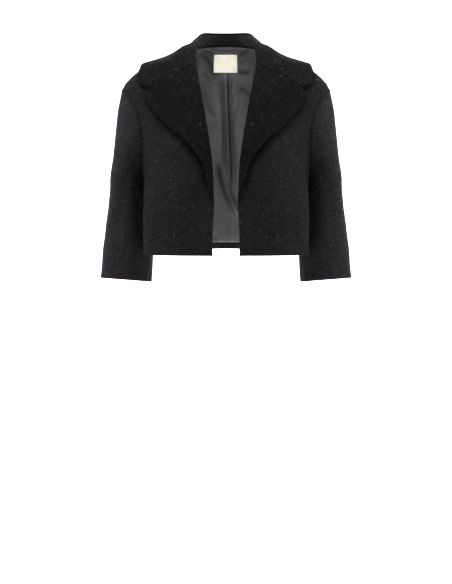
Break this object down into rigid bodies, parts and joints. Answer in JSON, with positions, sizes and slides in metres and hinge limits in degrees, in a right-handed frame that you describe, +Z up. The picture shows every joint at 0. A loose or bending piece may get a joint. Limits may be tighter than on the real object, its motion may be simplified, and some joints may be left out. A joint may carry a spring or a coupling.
{
  "type": "spencer jacket",
  "caption": "Cropped open-fronted jacket with a wide notched collar, lapels and straight three-quarter sleeves, filled out as if worn, with a lined back.",
  "frame": {"origin": "midway between the two neck points of the shoulder seams, at their height, where a neck and shoulders carry the jacket", "axes": "+Z up, the wearer faces -Y, and +X is the wearer's left"},
  "size_m": [0.5288, 0.2235, 0.5287],
  "materials": {
    "jacquard": "matte, raised tone-on-tone scrolls",
    "lining": "satin",
    "label": "matte"
  },
  "bodies": {
    "root": {"front_left": "jacquard", "front_right": "jacquard", "back": "jacquard", "sleeve_left": "jacquard", "sleeve_right": "jacquard", "lapel_left": "jacquard", "lapel_right": "jacquard", "collar_leaf": "jacquard", "collar_stand": "jacquard", "lining_back": "lining", "label": "label"}
  },
  "joints": []
}
